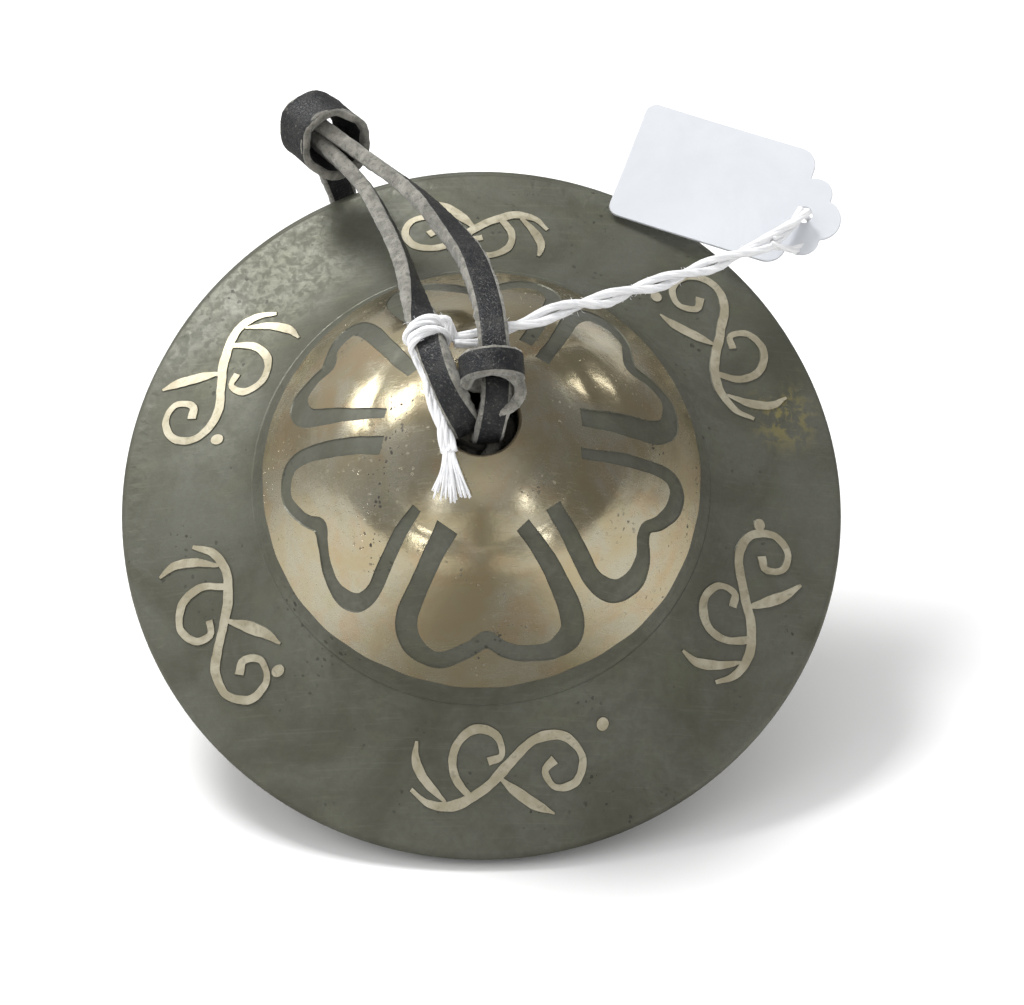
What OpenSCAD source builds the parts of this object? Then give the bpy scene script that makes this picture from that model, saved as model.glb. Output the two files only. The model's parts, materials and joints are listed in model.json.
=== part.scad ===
// A pair of small hand cymbals on one leather thong, laid mouth to mouth and
// leaning on the table: the lower cymbal rests on its rim and on its bell.
// Every length is in millimetres, and every angle in degrees.

/* [Cymbals] */
// Diameter across the rim of each cymbal
rim_d = 75; // [73:0.5:77]
// Thickness of the cast wall, and of the rounded rim
wall_t = 1.8; // [1.4:0.1:2]
// Diameter of the hole that the thong goes through
hole_d = 7.2; // [6.6:0.1:7.6]
// Height of the outer surface at the hole, above the mouth
bell_h = 28; // [27.6:0.1:28.4]
// Slope of the outer surface at the rim
rim_slope = 22; // [18:1:26]

/* [Dome] */
// Radius at the foot of the dome
dome_r = 22.3; // [22:0.1:22.6]
// Height at the foot of the dome
dome_h = 10.4; // [10:0.1:10.8]
// Slope at the foot of the dome
dome_slope = 58; // [54:1:62]
// Radius of the shallow ring around the knob
valley_r = 11.8; // [11.6:0.1:12.2]
// Height of the shallow ring
valley_h = 23.5; // [23.3:0.1:23.7]

/* [Knob] */
// Radius at the knob's edge
knob_r = 9.8; // [9.6:0.1:10]
// Height at the knob's edge
knob_h = 24.9; // [24.8:0.1:25.1]
// Slope at the knob's edge
knob_slope = 42; // [38:1:46]

/* [Pair] */
// Lean of the mouths from the table, which sets rim and bell down together
lean = 40.2; // [40.1:0.1:40.3]
// Light gap between the two rims
rim_gap = 0.2; // [0.2:0.05:0.4]
// How far the upper cymbal has slipped downhill on the lower one
slip = 1.2; // [0:0.1:1.2]

/* [Thong] */
// Diameter of the tubes that stand for the thong's flat runs
thong_d = 2; // [1.6:0.1:2]
// Diameter of the thong where it is doubled inside a hole
neck_d = 4.6; // [4:0.1:5]
// Outer diameter of the knots' collars
collar_d = 6.2; // [5.6:0.1:6.4]
// Outer diameter of the sliding wrap
slider_d = 7.5; // [7:0.1:9]
// Length of the sliding wrap
slider_len = 4.8; // [4:0.1:7]

/* [Ticket] */
// Length of the card's straight part
card_len = 19.4; // [18:0.1:21]
// Width of the card
card_w = 13.8; // [13:0.1:15]
// How far the slip's middle line lies above its hole
card_lift = 0.4; // [0:0.1:1]
// Thickness of the card
card_t = 0.35; // [0.3:0.05:0.4]
// Diameter of the two-ply string
string_d = 1.8; // [1.4:0.1:1.8]

/* [Hidden] */
$fn = 96;

// The rim's edge is a half round, and the pair turns about these heights.
edge_r = wall_t / 2;
rim_c = rim_d / 2 - edge_r;
hole_r = hole_d / 2;
hole_slope = 12;
steps = 6;

// Stations up the outer surface: radius, height and slope at each.
stations = [
    [rim_c + edge_r * sin(rim_slope), edge_r + edge_r * cos(rim_slope), rim_slope],
    [dome_r + 1.3, dome_h - 2.1, 46],
    [dome_r, dome_h, dome_slope],
    [valley_r + 2.6, valley_h - 2.1, 48],
    [valley_r, valley_h, 28],
    [knob_r, knob_h, knob_slope],
    [knob_r - 2.4, knob_h + 1.7, 30],
    [hole_r, bell_h, hole_slope]
];

// Where the pair stands: the lower rim's edge is on the table, and the box
// around both cymbals and the knots is centred on the origin.
seat_z = rim_c * sin(lean) + (edge_r + rim_gap / 2) * cos(lean) + edge_r;
seat_y = 0.45;

// A point of the curve from station a to station b, and its slope there.
function up(slope) = [-cos(slope), sin(slope)];
function reach(a, b) = norm([b[0] - a[0], b[1] - a[1]]) / 3;
function bend(a, b) = [
    [a[0], a[1]],
    [a[0], a[1]] + reach(a, b) * up(a[2]),
    [b[0], b[1]] - reach(a, b) * up(b[2]),
    [b[0], b[1]]
];
function on_bend(k, t) =
    pow(1 - t, 3) * k[0] + 3 * pow(1 - t, 2) * t * k[1]
    + 3 * (1 - t) * t * t * k[2] + pow(t, 3) * k[3];
function along_bend(k, t) =
    pow(1 - t, 2) * (k[1] - k[0]) + 2 * (1 - t) * t * (k[2] - k[1]) + t * t * (k[3] - k[2]);
function below(p, d) = p - wall_t * [d[1], -d[0]] / norm(d);

outer = [
    for (i = [0 : len(stations) - 2]) let (k = bend(stations[i], stations[i + 1]))
    for (j = [0 : steps - (i == len(stations) - 2 ? 0 : 1)]) on_bend(k, j / steps)
];
inner = [
    for (i = [len(stations) - 2 : -1 : 0]) let (k = bend(stations[i], stations[i + 1]))
    for (j = [steps - 1 : -1 : 0])
    below(on_bend(k, j / steps), along_bend(k, j / steps))
];
rim_edge = [
    for (a = [-90 - rim_slope + 15 : 15 : 90 - rim_slope - 15])
    [rim_c + edge_r * cos(a), edge_r + edge_r * sin(a)]
];
hole_bottom = [[hole_r, bell_h - wall_t / cos(hole_slope)]];
cymbal_outline = concat(
    outer, hole_bottom, [for (p = inner) if (p[0] > hole_r + 0.1) p], rim_edge
);

// The thong's two runs. Each point is across, uphill and out from the mouths,
// measured at the pair's middle. The upper runs go from the upper knot to the
// middle of the sliding wrap, and the lower runs from there down behind the
// far rim to the lower knot.
run_a_above = [
    [1.2, 5, 32.6], [0.8, 8.4, 31.5], [0, 12.5, 29], [-1.2, 16.6, 26],
    [-3.2, 20.8, 22.5], [-5.7, 25.2, 19], [-8.4, 28.9, 16], [-11.5, 32.5, 13],
    [-14.4, 35.6, 11], [-17, 37.9, 10.2]
];
run_a_below = [
    [-17.3, 38.2, 10.1], [-18.7, 39.9, 9.1], [-19.2, 40.9, 6.9], [-18, 40.2, 4.2],
    [-16.3, 38.2, -0.4], [-15.2, 36.4, -5.4], [-12.9, 31.8, -13.4], [-9.4, 26.4, -20.4],
    [-5.8, 21.4, -26], [-2.6, 16.4, -30.4], [-0.2, 12.2, -32.6], [0.9, 9, -33.3]
];
run_b_above = [
    [-3, 0.4, 31.4], [-4, 3, 31], [-5.2, 6.6, 29.6], [-6.2, 10.6, 26.8],
    [-7.2, 15.2, 23.2], [-8.4, 19.8, 19.6], [-9.9, 24.4, 16], [-11.9, 29.2, 13],
    [-14.2, 33, 10.6], [-16.4, 35.7, 9.2]
];
run_b_below = [
    [-16.6, 35.9, 9], [-18.2, 37.9, 7.7], [-18, 38.4, 5.6], [-16.6, 37.2, 2.6],
    [-15.4, 35.8, -1.4], [-13.8, 33, -7], [-10.8, 27.6, -14.8], [-7.4, 21.8, -21.8],
    [-4.8, 16.8, -26.8], [-3, 12.6, -29.6], [-1.9, 9, -31.2]
];

// The ticket's string, from the tie on run b to the card's hole.
string_route = [
    [-2.7, 6.4, 29], [-0.6, 6.9, 28.6], [1.8, 8.1, 27.6], [4.7, 9.3, 26.6],
    [7.7, 11.2, 25], [11.8, 13.8, 21], [17.1, 17.4, 16], [22.6, 21.1, 11.4],
    [26.5, 23.7, 8.6], [29.9, 25.8, 7], [32.5, 28, 6.3], [34.3, 30.1, 5.9]
];
tail_route = [
    [-4.7, 4.6, 28.6], [-4.5, 1.4, 29], [-3.9, -1.6, 29.2], [-3.2, -4.6, 28.8],
    [-2.6, -7.2, 28.1], [-2.5, -8.6, 27.5]
];

// Sweep of an eight-sided ring along a route, square to it at every point.
sides = 8;
function unit(v) = v / norm(v);
function heading(p, i) = unit(p[min(i + 1, len(p) - 1)] - p[max(i - 1, 0)]);
function ring(c, d, r, side) =
    let (x = unit(cross(d, side)), y = cross(d, x))
    [for (k = [0 : sides - 1]) c + r * (x * cos(k * 360 / sides) + y * sin(k * 360 / sides))];

module tube(route, d, side) {
    n = len(route);
    points = [for (i = [0 : n - 1]) each ring(route[i], heading(route, i), d / 2, side)];
    walls = [
        for (i = [0 : n - 2]) for (k = [0 : sides - 1]) let (m = (k + 1) % sides)
        each [
            [i * sides + k, (i + 1) * sides + k, (i + 1) * sides + m],
            [i * sides + k, (i + 1) * sides + m, i * sides + m]
        ]
    ];
    near_cap = [for (k = [0 : sides - 1]) k];
    far_cap = [for (k = [sides - 1 : -1 : 0]) (n - 1) * sides + k];
    polyhedron(points, concat(walls, [near_cap, far_cap]));
}

// Places: the pair's middle, each cymbal on it, and a direction to point along.
module seat() {
    translate([0, seat_y, seat_z]) rotate([lean, 0, 0]) children();
}
module on_upper() {
    seat() translate([0, -slip, rim_gap / 2]) children();
}
module on_lower() {
    seat() translate([0, 0, -rim_gap / 2]) mirror([0, 0, 1]) children();
}
module pointing(at, to) {
    d = unit(to);
    translate(at) rotate([0, acos(d[2]), atan2(d[1], d[0])]) children();
}

// A short band of leather wrapped into a ring, with rounded edges.
module band(outer_r, inner_r, width, soft = 0.4) {
    rotate_extrude() translate([inner_r, -width / 2]) {
        translate([0, soft]) square([outer_r - inner_r, width - 2 * soft]);
        translate([soft, 0]) square([outer_r - inner_r - 2 * soft, width]);
        for (x = [soft, outer_r - inner_r - soft], y = [soft, width - soft])
            translate([x, y]) circle(soft);
    }
}

module cymbal() {
    rotate_extrude($fn = 180) polygon(cymbal_outline);
}

// The thong doubled in the hole, from the stopper knot to the outer knot.
module neck() {
    translate([0, 0, 24]) cylinder(d = neck_d, h = 5.6);
}

// The knot inside the bell that can't pull out of the hole.
module stopper_knot() {
    translate([0, 0, 22.6]) {
        rotate_extrude() translate([2.2, 0]) circle(2.1);
        cylinder(r = 1.6, h = 2.4, center = true);
    }
}

module lower_cymbal() {
    color("#6f6f62") on_lower() cymbal();
}
module upper_cymbal() {
    color("#74746a") on_upper() cymbal();
}
module lower_neck() {
    color("#3a3a3a") on_lower() neck();
}
module lower_stopper_knot() {
    color("#45433f") on_lower() stopper_knot();
}
module lower_knot_loop() {
    color("#55524b") on_lower() pointing([0.6, 3.2, 31.1], [0.2, 0.9, 0.3]) band(2.6, 1.2, 2.4);
}
module lower_knot_collar() {
    color("#2f3034") on_lower() pointing([0, 6.4, 32], [0, 1, 0.1]) band(collar_d / 2, 1.5, 2.8);
}
module upper_neck() {
    color("#3a3a3a") on_upper() neck();
}
module upper_stopper_knot() {
    color("#45433f") on_upper() stopper_knot();
}
module upper_knot_loop() {
    color("#55524b") on_upper() pointing([1.8, 0.4, 30.4], [0.25, 0.8, 0.5]) band(2.8, 1.2, 2.4);
}
module upper_knot_collar() {
    color("#2f3034") on_upper() pointing([1.4, 3.4, 32], [0, 0.95, 0.25]) band(collar_d / 2, 1.5, 2.8);
}
module upper_run_a() {
    color("#4a4946") seat() tube(run_a_above, thong_d, [1, 0, 0]);
}
module upper_run_b() {
    color("#55534f") seat() tube(run_b_above, thong_d, [1, 0, 0]);
}
module lower_run_a() {
    color("#3f3e3c") seat() tube(run_a_below, thong_d, [1, 0, 0]);
}
module lower_run_b() {
    color("#45443f") seat() tube(run_b_below, thong_d, [1, 0, 0]);
}
module on_slider() {
    seat() pointing([-16.7, 36.7, 9.7], [0.574, -0.699, 0.426]) children();
}
module slider_outer_wrap() {
    color("#4d4c49") on_slider() band(slider_d / 2, 3.15, slider_len, 0.25);
}
module slider_inner_wrap() {
    color("#3c3b39") on_slider() band(3.1, 2.45, slider_len - 0.4, 0.25);
}
module tag_string() {
    color("#e6e6e8") seat() tube(string_route, string_d, [0, 0, 1]);
}

// Two turns of string around run b.
module string_tie() {
    color("#e9e9eb") seat() pointing([-5.2, 6.6, 29.6], [0.24, -0.84, 0.48])
        for (z = [-0.6, 0.6]) translate([0, 0, z]) rotate_extrude() translate([1.9, 0]) circle(0.6);
}
module string_tails() {
    color("#ededf0") seat() tube(tail_route, 1.4, [1, 0, 0]);
}

// The card: a round-cornered slip, a scalloped head at one end, and the string's
// hole, which is at the origin and a little below the slip's middle.
module card_outline() {
    corner = 1.2;
    shoulder = 2;
    front = -0.6;
    difference() {
        union() {
            translate([front - card_len, card_lift]) {
                translate([0, corner - card_w / 2]) square([card_len - shoulder, card_w - 2 * corner]);
                translate([shoulder, shoulder - card_w / 2])
                    square([card_len - shoulder, card_w - 2 * shoulder]);
                translate([corner, -card_w / 2]) square([card_len - corner - shoulder, card_w]);
                for (y = [-1, 1]) {
                    translate([corner, y * (card_w / 2 - corner)]) circle(corner);
                    translate([card_len - shoulder, y * (card_w / 2 - shoulder)]) circle(shoulder);
                }
            }
            translate([front - 0.3, -2.6]) square([1.5, 5.2]);
            translate([0.4, 2.7]) circle(1.8);
            translate([1.6, 0]) circle(2.4);
            translate([0.6, -2.7]) circle(1.9);
        }
        circle(0.9);
    }
}
module tag_card() {
    color("#e8eaee") seat() translate([34.3, 30.1, 4.45]) rotate([0, -4, -20.5])
        linear_extrude(height = card_t, center = true) card_outline();
}

lower_cymbal();
upper_cymbal();
lower_neck();
lower_stopper_knot();
lower_knot_loop();
lower_knot_collar();
upper_neck();
upper_stopper_knot();
upper_knot_loop();
upper_knot_collar();
upper_run_a();
upper_run_b();
lower_run_a();
lower_run_b();
slider_outer_wrap();
slider_inner_wrap();
tag_string();
string_tie();
string_tails();
tag_card();
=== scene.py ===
"""A leaning pair of bronze hand cymbals on a leather thong, with a strung card ticket."""

import json
import math

import bpy
import numpy as np
from mathutils import Matrix, Vector, geometry


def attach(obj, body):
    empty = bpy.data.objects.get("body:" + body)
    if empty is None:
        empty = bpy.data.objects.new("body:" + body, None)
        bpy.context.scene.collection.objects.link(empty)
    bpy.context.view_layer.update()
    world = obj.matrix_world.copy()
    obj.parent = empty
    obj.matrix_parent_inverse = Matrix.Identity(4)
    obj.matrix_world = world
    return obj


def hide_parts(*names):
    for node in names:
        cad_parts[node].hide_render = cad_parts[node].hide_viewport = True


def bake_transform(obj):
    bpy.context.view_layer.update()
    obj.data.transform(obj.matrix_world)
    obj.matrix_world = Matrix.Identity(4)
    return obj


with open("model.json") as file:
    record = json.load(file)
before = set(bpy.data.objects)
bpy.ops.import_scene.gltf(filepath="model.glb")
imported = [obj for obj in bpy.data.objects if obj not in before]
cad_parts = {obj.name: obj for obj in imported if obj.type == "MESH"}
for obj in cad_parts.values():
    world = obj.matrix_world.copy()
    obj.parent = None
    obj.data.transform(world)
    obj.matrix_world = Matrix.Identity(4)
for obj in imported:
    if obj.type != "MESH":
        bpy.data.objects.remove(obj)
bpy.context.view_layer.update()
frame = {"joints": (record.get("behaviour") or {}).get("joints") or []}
joints = {j["name"]: j for j in frame["joints"]}

# ---------------------------------------------------------------- places
# The pair's own axes: across the rims, uphill along them, and out of the mouths.
MM = 0.001
ACROSS = Vector((1, 0, 0))
OUT = Vector(joints["lift"]["axis"]).normalized()
UPHILL = OUT.cross(ACROSS)
MIDDLE = Vector(joints["lower_spin"]["pos_m"])
UPPER_SEAT = Vector(joints["upper_spin"]["pos_m"])
TURN = np.array([ACROSS, UPHILL, OUT])
# How far the upper cymbal has slid downhill, and half the gap between the rims.
SLIP = 1.2
HALF_GAP = 0.1


def pair(points):
    """World points, in metres, from millimetres across, uphill and out of the pair."""
    return np.array(points, float) @ TURN * MM + np.array(MIDDLE)


def upper(point):
    """A point of the upper cymbal's own axes, in the pair's millimetres."""
    return np.array(point, float) + [0, -SLIP, HALF_GAP]


def lower(point):
    """A point of the lower cymbal's own axes, in the pair's millimetres."""
    return np.array(point, float) * [1, 1, -1] - [0, 0, HALF_GAP]


# ---------------------------------------------------------------- camera
CAMERA_DOWN = math.radians(31.9)
CAMERA_AWAY = 0.33


def place_camera():
    camera = bpy.data.objects.new("camera", bpy.data.cameras.new("camera"))
    bpy.context.scene.collection.objects.link(camera)
    away = Vector((0, -math.cos(CAMERA_DOWN), math.sin(CAMERA_DOWN)))
    camera.location = UPPER_SEAT + CAMERA_AWAY * away
    camera.rotation_euler = (math.pi / 2 - CAMERA_DOWN, 0, 0)
    camera.data.sensor_width = 36
    camera.data.lens = 110.9
    camera.data.shift_x = 0.0299
    camera.data.shift_y = 0.0054
    camera.data.clip_start = 0.01
    bpy.context.scene.camera = camera


place_camera()


# ---------------------------------------------------------------- shaping tools
def unit(v):
    v = np.array(v, float)
    return v / np.maximum(np.linalg.norm(v, axis=-1, keepdims=True), 1e-12)


def along(points, step, dims=3):
    """Even points on a smooth curve through the given ones. Extra columns follow along."""
    p = np.array(points, float)
    p4 = np.vstack([2 * p[0] - p[1], p, 2 * p[-1] - p[-2]])
    t = np.linspace(0, 1, 20, endpoint=False)[:, None]
    fine = []
    for a, b, c, d in zip(p4[:-3], p4[1:-2], p4[2:-1], p4[3:]):
        cubic = (2 * a - 5 * b + 4 * c - d) * t**2 + (3 * b - a - 3 * c + d) * t**3
        fine.append(b + 0.5 * ((c - a) * t + cubic))
    fine = np.vstack(fine + [p[-1:]])
    steps = np.linalg.norm(np.diff(fine[:, :dims], axis=0), axis=1)
    length = np.concatenate([[0], np.cumsum(steps)])
    count = max(3, round(length[-1] / step) + 1)
    at = np.linspace(0, length[-1], count)
    return np.stack([np.interp(at, length, column) for column in fine.T], 1)


def waver(x, seed, size):
    """A slow hand-made wobble along x."""
    rng = np.random.default_rng(seed)
    total = np.zeros(len(x))
    for wave in (1.0, 2.3, 5.1):
        total += np.sin(x * wave + rng.uniform(0, 6.3)) / wave**0.7
    return size * total / 2


def make_mesh(name, verts, faces, materials, face_slots=None):
    """A smooth-shaded mesh object in metres."""
    mesh = bpy.data.meshes.new(name)
    mesh.from_pydata(np.asarray(verts, float).tolist(), [], [list(map(int, f)) for f in faces])
    for m in materials:
        mesh.materials.append(m)
    if face_slots is not None:
        mesh.polygons.foreach_set("material_index", np.asarray(face_slots, np.int32))
    mesh.polygons.foreach_set("use_smooth", np.full(len(mesh.polygons), True))
    mesh.update()
    piece = bpy.data.objects.new(name, mesh)
    bpy.context.scene.collection.objects.link(piece)
    return piece


def carried(line, first_side):
    """Headings and sides along a line, the side carried on without needless twist."""
    heading = unit(np.gradient(line, axis=0))
    side = np.array(first_side, float)
    sides = []
    for h in heading:
        side = side - h * (side @ h)
        side = side / np.linalg.norm(side)
        sides.append(side)
    return heading, np.array(sides)


def tube_skin(line, radius, around):
    """Points and faces of a round tube. radius may change along the line."""
    line = np.asarray(line, float)
    heading, side = carried(line, (0, 0, 1))
    other = np.cross(heading, side)
    angle = np.arange(around) * 2 * math.pi / around
    radius = np.broadcast_to(radius, len(line))[:, None, None]
    rings = line[:, None] + radius * (
        np.cos(angle)[None, :, None] * side[:, None]
        + np.sin(angle)[None, :, None] * other[:, None]
    )
    return rings.reshape(-1, 3), tube_faces(len(line), around)


def tube_faces(rows, around):
    faces = []
    for i in range(rows - 1):
        for k in range(around):
            m = (k + 1) % around
            a = i * around
            b = a + around
            faces.append((a + k, a + m, b + m, b + k))
    faces.append(tuple(range(around - 1, -1, -1)))
    faces.append(tuple((rows - 1) * around + k for k in range(around)))
    return faces


def joined(parts):
    """Several (points, faces) as one."""
    points, faces, base = [], [], 0
    for p, f in parts:
        points.append(p)
        faces += [tuple(base + i for i in face) for face in f]
        base += len(p)
    return np.vstack(points), faces


# ---------------------------------------------------------------- cymbals
WALL = 1.8
EDGE = WALL / 2
RIM = 37.5 - EDGE
HOLE = 3.6
STATIONS = [
    (RIM + EDGE * math.sin(math.radians(22)), EDGE + EDGE * math.cos(math.radians(22)), 22),
    (23.6, 8.3, 46),
    (22.3, 10.4, 58),
    (14.4, 21.4, 48),
    (12.6, 22.95, 37),
    (11.7, 23.55, 30),
    (10.9, 24.1, 41),
    (9.0, 25.6, 37),
    (7.4, 26.65, 30),
    (HOLE, 28.0, 12),
]
ETCH = 0.13
BEVEL = 0.07
BUD = 0.62
SPRIG_WIDTH = 5.6
HOLE_ROUND = 0.3
# The turned groove between dome and flange: its inner edge, its floor and its outer edge.
GROOVE = (23.44, 23.52, 23.6)
GROOVE_DEPTH = ETCH + 0.07


def bell_profile():
    """The outer surface from hole to rim: radius, height, slope and length so far."""
    rows = []
    for (r0, h0, s0), (r1, h1, s1) in zip(STATIONS[:-1], STATIONS[1:]):
        p0, p3 = np.array([r0, h0]), np.array([r1, h1])
        reach = np.linalg.norm(p3 - p0) / 3
        up0 = np.array([-math.cos(math.radians(s0)), math.sin(math.radians(s0))])
        up1 = np.array([-math.cos(math.radians(s1)), math.sin(math.radians(s1))])
        p1, p2 = p0 + reach * up0, p3 - reach * up1
        t = np.linspace(0, 1, 60)[:, None]
        rows.append((1 - t) ** 3 * p0 + 3 * (1 - t) ** 2 * t * p1 + 3 * (1 - t) * t**2 * p2 + t**3 * p3)
    line = np.vstack([r[:-1] for r in rows[:-1]] + [rows[-1]])[::-1]
    d = np.gradient(line, axis=0)
    slope = np.arctan2(-d[:, 1], d[:, 0])
    far = HOLE + np.concatenate([[0], np.cumsum(np.linalg.norm(np.diff(line, axis=0), axis=1))])
    return line[:, 0], line[:, 1], slope, far


PROFILE_R, PROFILE_H, PROFILE_SLOPE, PROFILE_FAR = bell_profile()


def height_at(r):
    return np.interp(r, PROFILE_R, PROFILE_H)


def slope_at(r):
    return np.interp(r, PROFILE_R, PROFILE_SLOPE)


def unrolled(plan):
    """Plan points moved out from the axis by the length of metal under them."""
    r = np.linalg.norm(plan, axis=1)
    return plan * (np.interp(r, PROFILE_R, PROFILE_FAR) / np.maximum(r, 1e-9))[:, None]


def rolled(flat):
    far = np.linalg.norm(flat, axis=1)
    return flat * (np.interp(far, PROFILE_FAR, PROFILE_R) / np.maximum(far, 1e-9))[:, None]


# Six etched petals, each an open band: across, uphill and width, from leg to leg.
PETALS = [
    [(9.7, 1.2, 1.9), (12.2, 1.5, 2.1), (15, 1.7, 2.4), (17.1, 2.1, 2.5), (18.6, 3.3, 2.1),
     (19.05, 5, 1.7), (18.6, 6.8, 1.3), (17, 8.1, 1.2), (15.1, 9, 1.4), (14.75, 10.8, 1.1),
     (14.6, 12.3, 1.1), (13.6, 14.1, 1.4), (12, 15.2, 1.9), (10.3, 15.2, 2), (9, 13.6, 1.7),
     (7.9, 10.9, 1.6), (6.9, 8.8, 1.5), (5.9, 6.9, 1.5)],
    [(4.3, 9, 1.4), (5.3, 11, 1.5), (6.4, 13.6, 1.6), (7.3, 16.3, 1.7), (7, 18.3, 1.8),
     (5.5, 19.5, 1.8), (3.6, 19.3, 1.7), (1.6, 18, 1.4), (0, 16.9, 1.5), (-1.6, 17.5, 1.5),
     (-4, 18.7, 1.8), (-6.2, 19.4, 1.7), (-8.1, 18.9, 1.8), (-8.8, 17.3, 1.9),
     (-8.1, 15.2, 1.9), (-6.9, 13, 1.7), (-5.6, 11, 1.6), (-4.4, 9, 1.5)],
    [(-6.6, 5.55, 1.25), (-7.9, 7.4, 1.7), (-9.6, 9.9, 1.8), (-11.2, 12.6, 2), (-12.8, 14, 2.1),
     (-14.3, 13, 1.7), (-15.1, 11.3, 1.2), (-15.4, 9.4, 1.6), (-16.9, 8.3, 1.4),
     (-18.2, 6.8, 1.8), (-18.2, 5.1, 2), (-17.2, 3.8, 2), (-15.2, 3, 1.8), (-13, 2.4, 1.4),
     (-11, 2, 1.2), (-9.3, 1.5, 1)],
    [(-9.65, -1.7, 1.8), (-12, -1.1, 1.8), (-14.5, -0.7, 1.8), (-17, -0.3, 1.7),
     (-18.8, -0.5, 1.7), (-19.5, -1.9, 1.2), (-19.4, -3.7, 1), (-18.5, -5.3, 1),
     (-17.3, -6.6, 1), (-15.9, -7.6, 1.3), (-15.6, -9.3, 1), (-15.3, -11.2, 1),
     (-14.6, -12.9, 1.1), (-13.4, -14.2, 1.4), (-12, -14.75, 1.5), (-10.6, -14.2, 1.5),
     (-9.5, -12.5, 1.5), (-8.2, -10.4, 1.4), (-7.3, -9.2, 1.3), (-6.2, -8, 1)],
    [(-3.25, -9.85, 2.35), (-4.5, -11.8, 2), (-6, -14.3, 2), (-7.3, -16.6, 2.2),
     (-7, -18.4, 1.9), (-5.2, -19.8, 1.3), (-3.4, -20, 1.2), (-1.2, -19.4, 1.2),
     (0.6, -18.7, 1.35), (2.4, -19.4, 1.2), (4.5, -19.55, 1.15), (6.9, -19.1, 1.4),
     (8.7, -17.8, 2.1), (8.9, -16.3, 2.4), (7.7, -14.2, 2.1), (5.8, -11.6, 1.7), (4, -9.6, 1.6)],
    [(6.95, -7.65, 1.7), (8.1, -9.3, 1.75), (9.6, -11.5, 1.9), (10.9, -13.1, 1.9),
     (12.3, -13.7, 2), (13.9, -13.35, 1.7), (15.3, -12, 1.7), (16, -10.3, 1.5), (16, -8.7, 1.3),
     (16.4, -7.5, 1.05), (17.7, -6.6, 1.2), (19.1, -4.9, 1.5), (19.6, -3.2, 1.6),
     (18.9, -1.9, 1.6), (17, -1.75, 1.3), (14, -2, 1.3), (11.5, -2.3, 1.15), (9.7, -2.4, 1.1)],
]

# One sprig of scrollwork, in a box of two: each stroke is across, up and width.
# Tendrils curl in on themselves and end in buds, with leaves beside the stem.
STEM = [(-1.0, -0.15, 0.07), (-0.8, -0.32, 0.13), (-0.5, -0.36, 0.17), (-0.15, -0.2, 0.17),
        (0.15, 0.05, 0.17), (0.45, 0.28, 0.16), (0.78, 0.3, 0.15), (0.98, 0.08, 0.14),
        (0.9, -0.18, 0.13), (0.66, -0.24, 0.12), (0.54, -0.06, 0.13), (0.66, 0.06, 0.16)]
CURL = [(-0.32, -0.3, 0.12), (-0.5, -0.02, 0.14), (-0.46, 0.26, 0.15), (-0.22, 0.42, 0.14),
        (0.02, 0.34, 0.13), (0.06, 0.14, 0.12), (-0.1, 0.08, 0.14)]
LEAF = [(0.02, -0.1, 0.07), (0.2, -0.26, 0.18), (0.42, -0.42, 0.17), (0.62, -0.52, 0.05)]
LEAF_UP = [(-0.62, -0.32, 0.06), (-0.82, -0.08, 0.16), (-0.92, 0.16, 0.15), (-0.9, 0.36, 0.05)]
SPRIG = [STEM, CURL, LEAF, LEAF_UP]

# Where each sprig lies on the flange: middle, half length, turn in degrees, mirrored, bud.
SPRIGS = [
    ((-0.6, 29.2), 7.6, 176, 1, (-7.8, 25.2)),
    ((25.4, 16.8), 8.9, 118, -1, (18.4, 21.8)),
    ((26.6, -11.8), 8.4, 62, 1, (28.6, -3.4)),
    ((1.6, -29), 8.8, 4, 1, (12.2, -24.6)),
    ((-26.8, -13.8), 8.6, -62, -1, (-20.6, -19)),
    ((-26.6, 13), 8.6, 226, 1, (-27.4, 5.8)),
]


def stroke(points, grow=0.0, seed=0, wobble=0.05, step=0.32):
    """The outline of a brush stroke whose points are across, up and width."""
    line = along(points, step, dims=2)
    heading = unit(np.gradient(line[:, :2], axis=0))
    line[0, :2] -= heading[0] * grow
    line[-1, :2] += heading[-1] * grow
    side = np.stack([-heading[:, 1], heading[:, 0]], 1)
    far = np.arange(len(line)) * step
    edges = []
    for sign, turn in ((1, 1), (-1, 2)):
        half = line[:, 2] / 2 + grow + waver(far, seed * 7 + turn, wobble)
        half = np.maximum(half, 0.05 + grow)
        edge = line[:, :2] + sign * side * half[:, None]
        gap = np.linalg.norm(edge[:, None] - line[None, :, :2], axis=2) - half[None]
        edges.append(edge[gap.min(1) > -0.03])
    return np.vstack([edges[0], edges[1][::-1]])


def round_bud(middle, radius, grow, seed):
    angle = np.linspace(0, 2 * math.pi, 16, endpoint=False)
    r = radius + grow + 0.05 * np.sin(2 * angle + seed)
    return np.array(middle) + np.stack([np.cos(angle), np.sin(angle)], 1) * r[:, None]


def sprig_strokes(middle, half, turn, mirrored):
    """The sprig's strokes, placed on the flange in plan."""
    a = math.radians(turn)
    rot = np.array([[math.cos(a), math.sin(a)], [-math.sin(a), math.cos(a)]])
    strokes = []
    for s in SPRIG:
        s = np.array(s)
        xy = s[:, :2] * [half, half * mirrored] @ rot + middle
        strokes.append(np.column_stack([xy, s[:, 2] * SPRIG_WIDTH]))
    return strokes


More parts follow.
